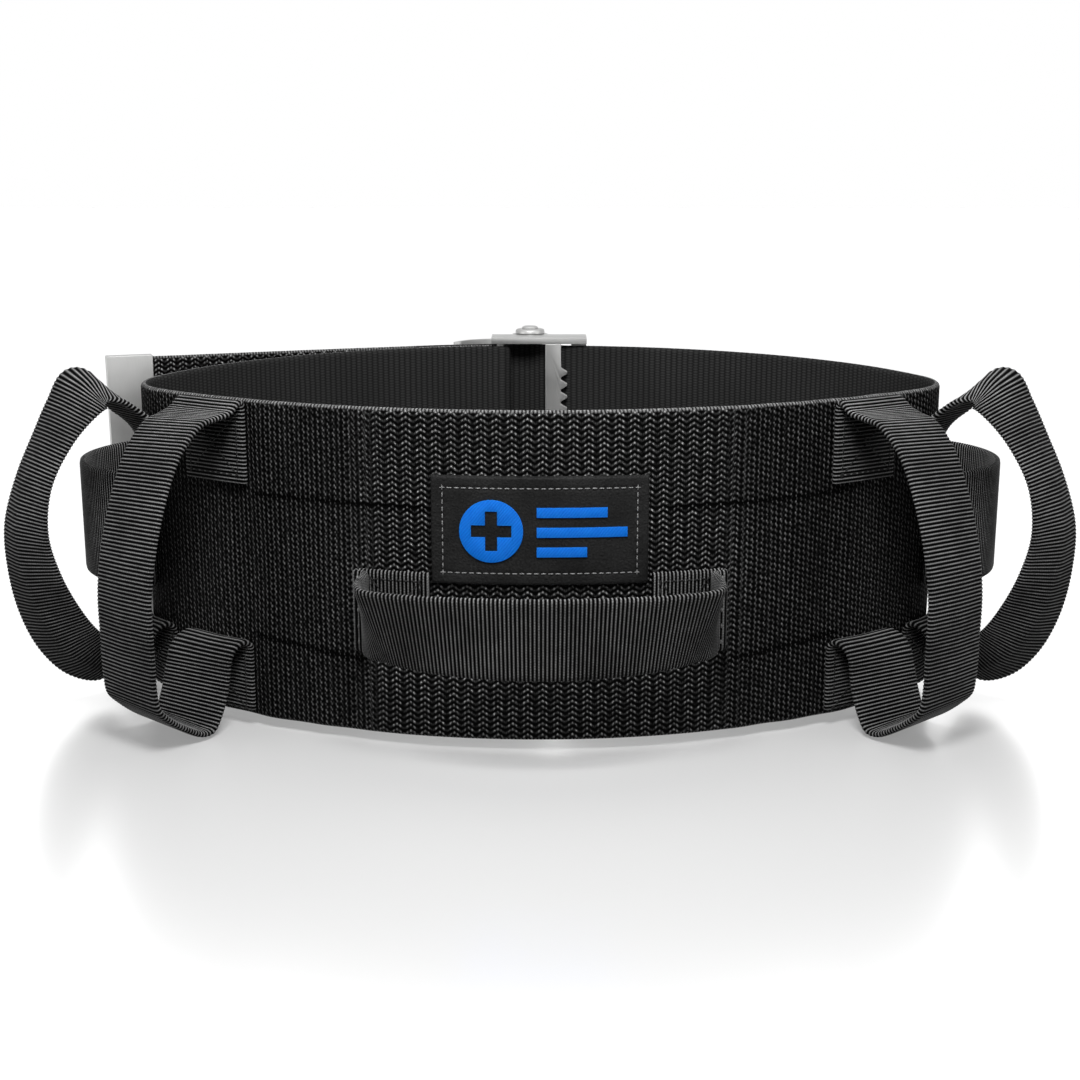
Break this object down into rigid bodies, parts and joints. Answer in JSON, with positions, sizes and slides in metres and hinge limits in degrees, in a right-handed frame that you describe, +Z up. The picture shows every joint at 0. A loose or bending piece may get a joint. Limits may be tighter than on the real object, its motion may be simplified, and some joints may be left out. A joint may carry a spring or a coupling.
{
  "type": "gait belt",
  "caption": "Wide webbing waist belt for moving a patient, with sewn hand straps round it and a metal lever buckle at the back.",
  "frame": {"origin": "on the surface the belt stands on, under the middle of its bounding box", "axes": "+Z up, along the width of the belt webbing; the front, with the name patch and the level front handle, faces -Y; +X to the right as seen from the front"},
  "size_m": [0.3414, 0.2223, 0.1133],
  "materials": {
    "webbing": "matt woven webbing with a herringbone face",
    "strap": "ribbed grosgrain webbing",
    "thread": "twisted sewing thread",
    "patch": "fine-grained imitation leather",
    "emblem": "satin stitch embroidery",
    "metal": "satin nickel plate"
  },
  "bodies": {
    "belt": {"belt_webbing": "webbing", "fold_stitching": "thread", "name_patch": "patch", "patch_stitching": "thread", "patch_emblem": "emblem", "centre_left_tab": "strap", "centre_right_tab": "strap", "centre_stitching": "thread", "front_left_upper_tab": "strap", "front_left_lower_tab": "strap", "front_left_stitching": "thread", "front_right_upper_tab": "strap", "front_right_lower_tab": "strap", "front_right_stitching": "thread", "side_left_upper_tab": "strap", "side_left_lower_tab": "strap", "side_left_stitching": "thread", "side_right_upper_tab": "strap", "side_right_lower_tab": "strap", "side_right_stitching": "thread", "level_left_near_tab": "strap", "level_left_far_tab": "strap", "level_left_stitching": "thread", "level_right_near_tab": "strap", "level_right_far_tab": "strap", "level_right_stitching": "thread", "buckle_frame": "metal", "grip_plate": "metal", "anchor_bar": "metal", "hinge_pin": "metal", "pin_washers": "metal"},
    "lever": {"lever": "metal"},
    "tail": {"tail_webbing": "webbing", "tail_tip": "metal"},
    "centre_handle": {"centre_strap": "strap"},
    "front_left_handle": {"front_left_strap": "strap"},
    "front_right_handle": {"front_right_strap": "strap"},
    "side_left_handle": {"side_left_strap": "strap"},
    "side_right_handle": {"side_right_strap": "strap"},
    "level_left_handle": {"level_left_strap": "strap"},
    "level_right_handle": {"level_right_strap": "strap"}
  },
  "joints": [
    {"name": "lever_open", "type": "hinge", "parent": "belt", "child": "lever", "pos_m": [-0.004, 0.10275, 0.0542], "axis": [0, 0, -1], "range_deg": [0, 75]},
    {"name": "tail_swing", "type": "hinge", "parent": "belt", "child": "tail", "pos_m": [-0.04918, 0.08838, 0.0542], "axis": [0, 0, -1], "range_deg": [0, 70], "stiffness_Nm_per_rad": 0.05},
    {"name": "centre_handle_flop", "type": "hinge", "parent": "belt", "child": "centre_handle", "pos_m": [0, -0.07515, 0.0431], "axis": [1, 0, 0], "range_deg": [-25, 25], "stiffness_Nm_per_rad": 0.05},
    {"name": "front_left_handle_swing", "type": "hinge", "parent": "belt", "child": "front_left_handle", "pos_m": [-0.10321, -0.05659, 0.0542], "axis": [0, 0, 1], "range_deg": [-20, 35], "stiffness_Nm_per_rad": 0.05},
    {"name": "side_left_handle_swing", "type": "hinge", "parent": "belt", "child": "side_left_handle", "pos_m": [-0.12966, -0.03441, 0.0542], "axis": [0, 0, 1], "range_deg": [-35, 15], "stiffness_Nm_per_rad": 0.05},
    {"name": "level_left_handle_flop", "type": "hinge", "parent": "belt", "child": "level_left_handle", "pos_m": [-0.11744, 0.00309, 0.0542], "axis": [-0.2431, -0.97, 0], "range_deg": [-25, 25], "stiffness_Nm_per_rad": 0.05},
    {"name": "front_right_handle_swing", "type": "hinge", "parent": "belt", "child": "front_right_handle", "pos_m": [0.10321, -0.05659, 0.0542], "axis": [0, 0, -1], "range_deg": [-20, 35], "stiffness_Nm_per_rad": 0.05},
    {"name": "side_right_handle_swing", "type": "hinge", "parent": "belt", "child": "side_right_handle", "pos_m": [0.12966, -0.03441, 0.0542], "axis": [0, 0, -1], "range_deg": [-35, 15], "stiffness_Nm_per_rad": 0.05},
    {"name": "level_right_handle_flop", "type": "hinge", "parent": "belt", "child": "level_right_handle", "pos_m": [0.11744, 0.00309, 0.0542], "axis": [-0.2431, 0.97, 0], "range_deg": [-25, 25], "stiffness_Nm_per_rad": 0.05}
  ]
}
